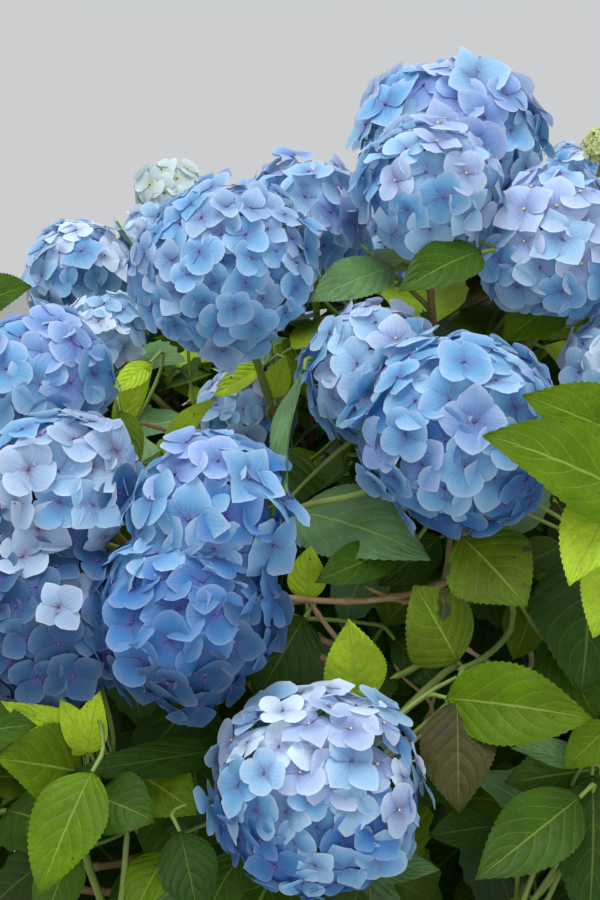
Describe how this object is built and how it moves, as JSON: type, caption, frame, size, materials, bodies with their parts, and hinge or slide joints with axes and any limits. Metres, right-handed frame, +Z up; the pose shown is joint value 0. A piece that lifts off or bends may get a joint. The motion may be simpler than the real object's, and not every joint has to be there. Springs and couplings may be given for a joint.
{
  "type": "hydrangea shrub",
  "caption": "Rounded mophead hydrangea shrub with blue flower heads, arching canes and broad paired leaves, rooted in the ground by a short woody stem.",
  "frame": {"origin": "centre of the flat cut under the woody stem, at ground level", "axes": "+Z up; -Y is the side that the picture shows; +X is to the right seen from there"},
  "size_m": [1.3478, 1.3763, 1.2176],
  "materials": {
    "bark": "rough",
    "foliage": "satin",
    "blossom": "matte"
  },
  "bodies": {
    "root": {"cane_crown_1": "bark", "cane_crown_2": "bark", "cane_crown_3": "bark", "cane_crown_4": "bark", "cane_crown_5": "bark", "cane_crown_6": "bark", "cane_shoulder_1": "bark", "cane_shoulder_2": "bark", "cane_shoulder_3": "bark", "cane_shoulder_4": "bark", "cane_shoulder_5": "bark", "cane_shoulder_6": "bark", "cane_shoulder_7": "bark", "cane_shoulder_8": "bark", "cane_skirt_1": "bark", "cane_skirt_2": "bark", "cane_skirt_3": "bark", "cane_skirt_4": "bark", "cane_skirt_5": "bark", "cane_skirt_6": "bark", "cane_skirt_7": "bark", "foliage_crown_1": "foliage", "foliage_crown_2": "foliage", "foliage_crown_3": "foliage", "foliage_crown_4": "foliage", "foliage_crown_5": "foliage", "foliage_crown_6": "foliage", "foliage_shoulder_1": "foliage", "foliage_shoulder_2": "foliage", "foliage_shoulder_3": "foliage", "foliage_shoulder_4": "foliage", "foliage_shoulder_5": "foliage", "foliage_shoulder_6": "foliage", "foliage_shoulder_7": "foliage", "foliage_shoulder_8": "foliage", "foliage_skirt_1": "foliage", "foliage_skirt_2": "foliage", "foliage_skirt_3": "foliage", "foliage_skirt_4": "foliage", "foliage_skirt_5": "foliage", "foliage_skirt_6": "foliage", "foliage_skirt_7": "foliage", "woody_stem": "bark"}
  },
  "joints": []
}
